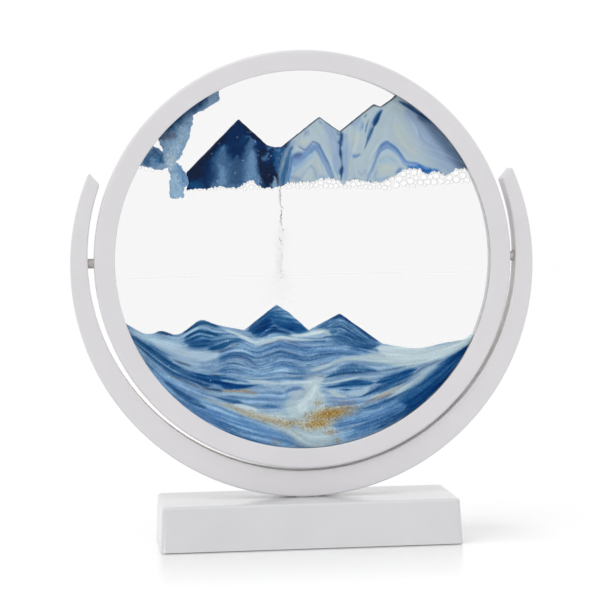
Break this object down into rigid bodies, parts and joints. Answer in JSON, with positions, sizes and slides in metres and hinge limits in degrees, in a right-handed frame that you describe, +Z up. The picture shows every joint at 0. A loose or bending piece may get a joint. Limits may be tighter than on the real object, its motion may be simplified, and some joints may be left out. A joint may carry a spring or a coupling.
{
  "type": "moving sand art frame",
  "caption": "Round glass sand picture filled with blue sand, liquid and bubbles, turning end over end on pins in a white crescent cradle on a block base.",
  "frame": {"origin": "on the floor, under the middle of the base", "axes": "+Z up, +X to the right along the pivot pins, front towards -Y"},
  "size_m": [0.2004, 0.0494, 0.2123],
  "materials": {
    "white_plastic": "satin moulded white",
    "plate_plastic": "fine matt texture",
    "steel": "turned steel",
    "bush_plastic": "natural acetal",
    "foot_rubber": "matt",
    "pane_glass": "clear float glass",
    "spacer_plastic": "pale grey green",
    "seal_silicone": "translucent silicone",
    "dark_blue_sand": "fine grains in navy, blue and pale bands",
    "pale_blue_sand": "loose fine grains",
    "blue_sand": "wavy strata with a gold speckled patch",
    "bubbles": "clear round air bubbles",
    "clear_liquid": "clear liquid"
  },
  "bodies": {
    "stand": {"base_shell": "white_plastic", "base_bottom_plate": "plate_plastic", "base_screw_front_left": "steel", "base_screw_front_right": "steel", "base_screw_rear_left": "steel", "base_screw_rear_right": "steel", "foot_front_left": "foot_rubber", "foot_front_right": "foot_rubber", "foot_rear_left": "foot_rubber", "foot_rear_right": "foot_rubber", "cradle_arc": "white_plastic", "arc_screw_left": "steel", "arc_screw_right": "steel", "pivot_bush_left": "bush_plastic", "pivot_bush_right": "bush_plastic"},
    "disc": {"front_bezel": "white_plastic", "rear_bezel": "white_plastic", "pivot_pin_left": "steel", "pivot_pin_right": "steel", "front_glass": "pane_glass", "rear_glass": "pane_glass", "spacer_ring": "spacer_plastic", "edge_seal": "seal_silicone", "fill_plug": "seal_silicone", "upper_sand": "dark_blue_sand", "sand_drift": "pale_blue_sand", "falling_sand": "dark_blue_sand", "lower_sand": "blue_sand", "bubble_raft": "bubbles", "liquid_above": "clear_liquid", "liquid_below": "clear_liquid"}
  },
  "joints": [
    {"name": "disc_turn", "type": "hinge", "parent": "stand", "child": "disc", "pos_m": [0, 0, 0.1223], "axis": [1, 0, 0], "continuous": true}
  ]
}
